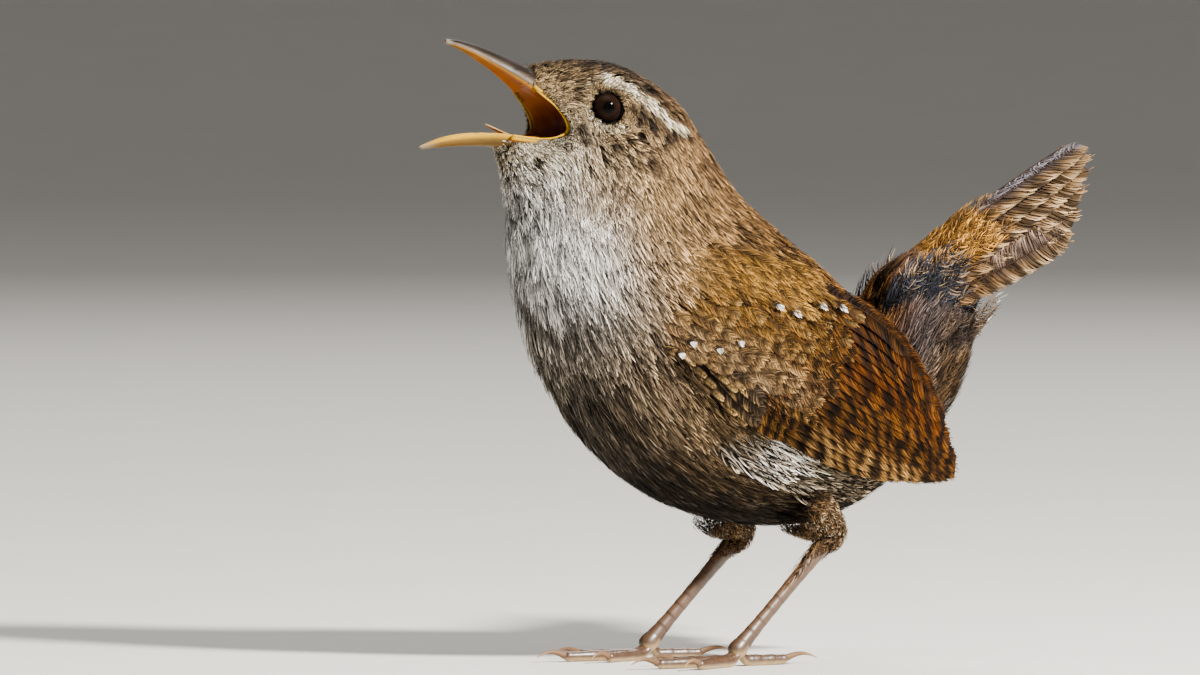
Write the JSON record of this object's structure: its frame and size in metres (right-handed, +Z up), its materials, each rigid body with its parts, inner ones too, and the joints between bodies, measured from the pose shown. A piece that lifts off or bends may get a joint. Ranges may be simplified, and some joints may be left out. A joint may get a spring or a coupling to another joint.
{
  "type": "wren",
  "caption": "Life-size Eurasian wren standing in song: bill wide open, short barred tail cocked, wings folded, feet flat on the ground.",
  "frame": {"origin": "centre of the bird's bounding box seen from above, on the plane its feet stand on", "axes": "+Z up, the bird faces -Y with its tail towards +Y, its left side is +X"},
  "size_m": [0.0324, 0.086, 0.0718],
  "materials": {
    "plumage": "matte feathers, brown barred darker",
    "throat": "matte feathers, greyish white",
    "wing": "smooth flight feathers, rufous barred black",
    "horn": "satin dark horn",
    "yellow_horn": "satin yellowish horn",
    "gape": "moist orange skin",
    "eye": "glossy, dark brown",
    "leg": "satin pinkish brown scales",
    "claw": "satin horn"
  },
  "bodies": {
    "root": {"head": "plumage", "neck": "throat", "torso": "plumage", "rump": "plumage", "mouth": "gape", "upper_bill": "horn", "lower_bill": "yellow_horn", "tongue": "gape", "tail": "wing", "eye_left": "eye", "wing_left": "wing", "thigh_left": "plumage", "shank_left": "leg", "foot_left": "leg", "claw_inner_left": "claw", "claw_middle_left": "claw", "claw_outer_left": "claw", "claw_hind_left": "claw", "eye_right": "eye", "wing_right": "wing", "thigh_right": "plumage", "shank_right": "leg", "foot_right": "leg", "claw_inner_right": "claw", "claw_middle_right": "claw", "claw_outer_right": "claw", "claw_hind_right": "claw"}
  },
  "joints": []
}
